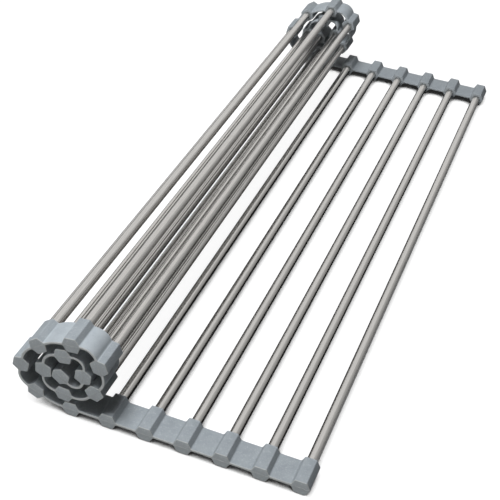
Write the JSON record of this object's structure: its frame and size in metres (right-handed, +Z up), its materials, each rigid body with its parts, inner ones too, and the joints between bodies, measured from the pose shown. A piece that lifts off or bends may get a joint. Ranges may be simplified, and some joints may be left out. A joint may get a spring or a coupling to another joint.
{
  "type": "roll up dish drying rack",
  "caption": "Roll up dish drying rack: hollow steel tubes held at both ends by flexible silicone strips, flat on one side and rolled up on the other.",
  "frame": {"origin": "middle of the bounding box's underside, on the surface that the rack stands on", "axes": "+X from the roll to the free end of the flat stretch, +Y along the tubes to the rear strip, +Z up"},
  "size_m": [0.1702, 0.45, 0.0571],
  "materials": {
    "steel": "brushed",
    "silicone": "matt"
  },
  "bodies": {
    "slat_01": {"tube_01": "steel", "front_strip_lug_01": "silicone", "rear_strip_lug_01": "silicone"},
    "slat_02": {"tube_02": "steel", "front_strip_lug_02": "silicone", "rear_strip_lug_02": "silicone"},
    "slat_03": {"tube_03": "steel", "front_strip_lug_03": "silicone", "rear_strip_lug_03": "silicone"},
    "slat_04": {"tube_04": "steel", "front_strip_lug_04": "silicone", "rear_strip_lug_04": "silicone"},
    "slat_05": {"tube_05": "steel", "front_strip_lug_05": "silicone", "rear_strip_lug_05": "silicone"},
    "slat_06": {"tube_06": "steel", "front_strip_lug_06": "silicone", "rear_strip_lug_06": "silicone"},
    "slat_07": {"tube_07": "steel", "front_strip_lug_07": "silicone", "rear_strip_lug_07": "silicone"},
    "slat_08": {"tube_08": "steel", "front_strip_lug_08": "silicone", "rear_strip_lug_08": "silicone"},
    "slat_09": {"tube_09": "steel", "front_strip_lug_09": "silicone", "rear_strip_lug_09": "silicone"},
    "slat_10": {"tube_10": "steel", "front_strip_lug_10": "silicone", "rear_strip_lug_10": "silicone"},
    "slat_11": {"tube_11": "steel", "front_strip_lug_11": "silicone", "rear_strip_lug_11": "silicone"},
    "slat_12": {"tube_12": "steel", "front_strip_lug_12": "silicone", "rear_strip_lug_12": "silicone"},
    "slat_13": {"tube_13": "steel", "front_strip_lug_13": "silicone", "rear_strip_lug_13": "silicone"},
    "slat_14": {"tube_14": "steel", "front_strip_lug_14": "silicone", "rear_strip_lug_14": "silicone"},
    "slat_15": {"tube_15": "steel", "front_strip_lug_15": "silicone", "rear_strip_lug_15": "silicone"},
    "slat_16": {"tube_16": "steel", "front_strip_lug_16": "silicone", "rear_strip_lug_16": "silicone"},
    "slat_17": {"tube_17": "steel", "front_strip_lug_17": "silicone", "rear_strip_lug_17": "silicone"},
    "slat_18": {"tube_18": "steel", "front_strip_lug_18": "silicone", "rear_strip_lug_18": "silicone"}
  },
  "joints": [
    {"name": "web_01_02", "type": "hinge", "parent": "slat_01", "child": "slat_02", "pos_m": [0.06878, 0, 0.00465], "axis": [0, 1, 0], "range_deg": [-20, 36]},
    {"name": "web_02_03", "type": "hinge", "parent": "slat_02", "child": "slat_03", "pos_m": [0.04698, 0, 0.00465], "axis": [0, 1, 0], "range_deg": [-20, 36]},
    {"name": "web_03_04", "type": "hinge", "parent": "slat_03", "child": "slat_04", "pos_m": [0.02517, 0, 0.00465], "axis": [0, 1, 0], "range_deg": [-20, 36]},
    {"name": "web_04_05", "type": "hinge", "parent": "slat_04", "child": "slat_05", "pos_m": [0.00337, 0, 0.00465], "axis": [0, 1, 0], "range_deg": [-20, 36]},
    {"name": "web_05_06", "type": "hinge", "parent": "slat_05", "child": "slat_06", "pos_m": [-0.01843, 0, 0.00465], "axis": [0, 1, 0], "range_deg": [-20, 36]},
    {"name": "web_06_07", "type": "hinge", "parent": "slat_06", "child": "slat_07", "pos_m": [-0.04022, 0, 0.00465], "axis": [0, 1, 0], "range_deg": [-20, 36]},
    {"name": "web_07_08", "type": "hinge", "parent": "slat_07", "child": "slat_08", "pos_m": [-0.06198, 0, 0.00529], "axis": [0, 1, 0], "range_deg": [-26.9, 0]},
    {"name": "web_08_09", "type": "hinge", "parent": "slat_08", "child": "slat_09", "pos_m": [-0.08051, 0, 0.01595], "axis": [0, 1, 0], "range_deg": [-76.3, 0]},
    {"name": "web_09_10", "type": "hinge", "parent": "slat_09", "child": "slat_10", "pos_m": [-0.07643, 0, 0.03687], "axis": [0, 1, 0], "range_deg": [-40.3, 0]},
    {"name": "web_10_11", "type": "hinge", "parent": "slat_10", "child": "slat_11", "pos_m": [-0.05921, 0, 0.04995], "axis": [0, 1, 0], "range_deg": [-28.7, 0]},
    {"name": "web_11_12", "type": "hinge", "parent": "slat_11", "child": "slat_12", "pos_m": [-0.03794, 0, 0.0517], "axis": [0, 1, 0], "range_deg": [-79.6, 0]},
    {"name": "web_12_13", "type": "hinge", "parent": "slat_12", "child": "slat_13", "pos_m": [-0.03085, 0, 0.03177], "axis": [0, 1, 0], "range_deg": [-56.3, 0]},
    {"name": "web_13_14", "type": "hinge", "parent": "slat_13", "child": "slat_14", "pos_m": [-0.04403, 0, 0.01497], "axis": [0, 1, 0], "range_deg": [-56.6, 0]},
    {"name": "web_14_15", "type": "hinge", "parent": "slat_14", "child": "slat_15", "pos_m": [-0.06494, 0, 0.0174], "axis": [0, 1, 0], "range_deg": [-89.5, 0]},
    {"name": "web_15_16", "type": "hinge", "parent": "slat_15", "child": "slat_16", "pos_m": [-0.06377, 0, 0.03827], "axis": [0, 1, 0], "range_deg": [-72.4, 0]},
    {"name": "web_16_17", "type": "hinge", "parent": "slat_16", "child": "slat_17", "pos_m": [-0.04354, 0, 0.04227], "axis": [0, 1, 0], "range_deg": [-111.9, 0]},
    {"name": "web_17_18", "type": "hinge", "parent": "slat_17", "child": "slat_18", "pos_m": [-0.04666, 0, 0.02251], "axis": [0, 1, 0], "range_deg": [-121.2, 0]}
  ],
  "couplings": [
    {"joint": "web_08_09", "follows": "web_07_08", "ratio": 2.8364},
    {"joint": "web_09_10", "follows": "web_07_08", "ratio": 1.4981},
    {"joint": "web_10_11", "follows": "web_07_08", "ratio": 1.0669},
    {"joint": "web_11_12", "follows": "web_07_08", "ratio": 2.9591},
    {"joint": "web_12_13", "follows": "web_07_08", "ratio": 2.0929},
    {"joint": "web_13_14", "follows": "web_07_08", "ratio": 2.1041},
    {"joint": "web_14_15", "follows": "web_07_08", "ratio": 3.3271},
    {"joint": "web_15_16", "follows": "web_07_08", "ratio": 2.6915},
    {"joint": "web_16_17", "follows": "web_07_08", "ratio": 4.1599},
    {"joint": "web_17_18", "follows": "web_07_08", "ratio": 4.5056}
  ]
}
